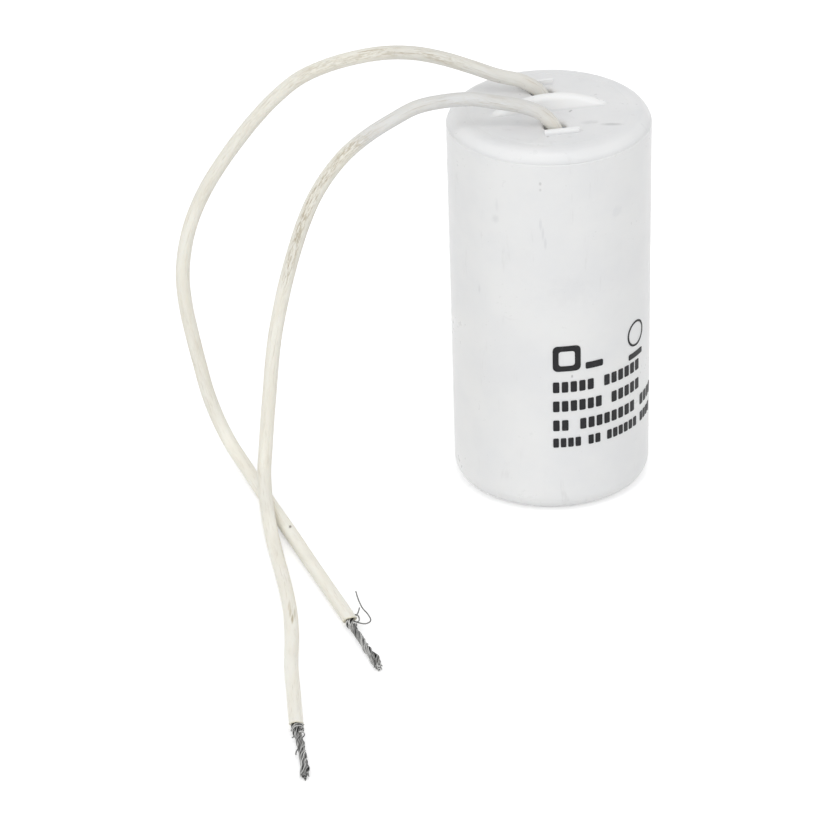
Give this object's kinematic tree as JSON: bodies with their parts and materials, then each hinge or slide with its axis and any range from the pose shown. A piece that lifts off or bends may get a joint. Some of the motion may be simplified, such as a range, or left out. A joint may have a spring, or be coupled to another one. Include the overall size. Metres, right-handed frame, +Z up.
{
  "type": "motor run capacitor",
  "caption": "Wound film capacitor potted in a round white plastic case, its cover letting out two flexible insulated leads with stripped ends.",
  "frame": {"origin": "middle of the flat foot of the case", "axes": "+Z up along the case's axis, towards the cover and its leads; -Y towards the front, where the leads' ends lie; the leads arch over the -X side"},
  "size_m": [0.0842, 0.1299, 0.0797],
  "materials": {
    "case_plastic": "satin white moulded plastic, lightly scuffed",
    "cover_plastic": "satin white moulded plastic, faintly soiled",
    "lead_insulation": "cream flexible insulation with brown streaks of dirt",
    "tinned_copper": "dull tinned strands",
    "print_ink": "thin black ink",
    "metallised_film": "tightly wound film",
    "core_plastic": "plain moulded tube",
    "sprayed_zinc": "rough sprayed metal",
    "potting_resin": "cast resin",
    "solder": "soft bright solder"
  },
  "bodies": {
    "root": {"case": "case_plastic", "cover": "cover_plastic", "winding": "metallised_film", "core_tube": "core_plastic", "bottom_end_spray": "sprayed_zinc", "top_end_spray": "sprayed_zinc", "potting_resin": "potting_resin", "rear_lead": "lead_insulation", "front_lead": "lead_insulation", "rear_lead_root": "lead_insulation", "front_lead_root": "lead_insulation", "rear_lead_strands": "tinned_copper", "front_lead_strands": "tinned_copper", "rear_lead_tail": "tinned_copper", "front_lead_tail": "tinned_copper", "rear_solder_joint": "solder", "front_solder_joint": "solder"}
  },
  "joints": []
}
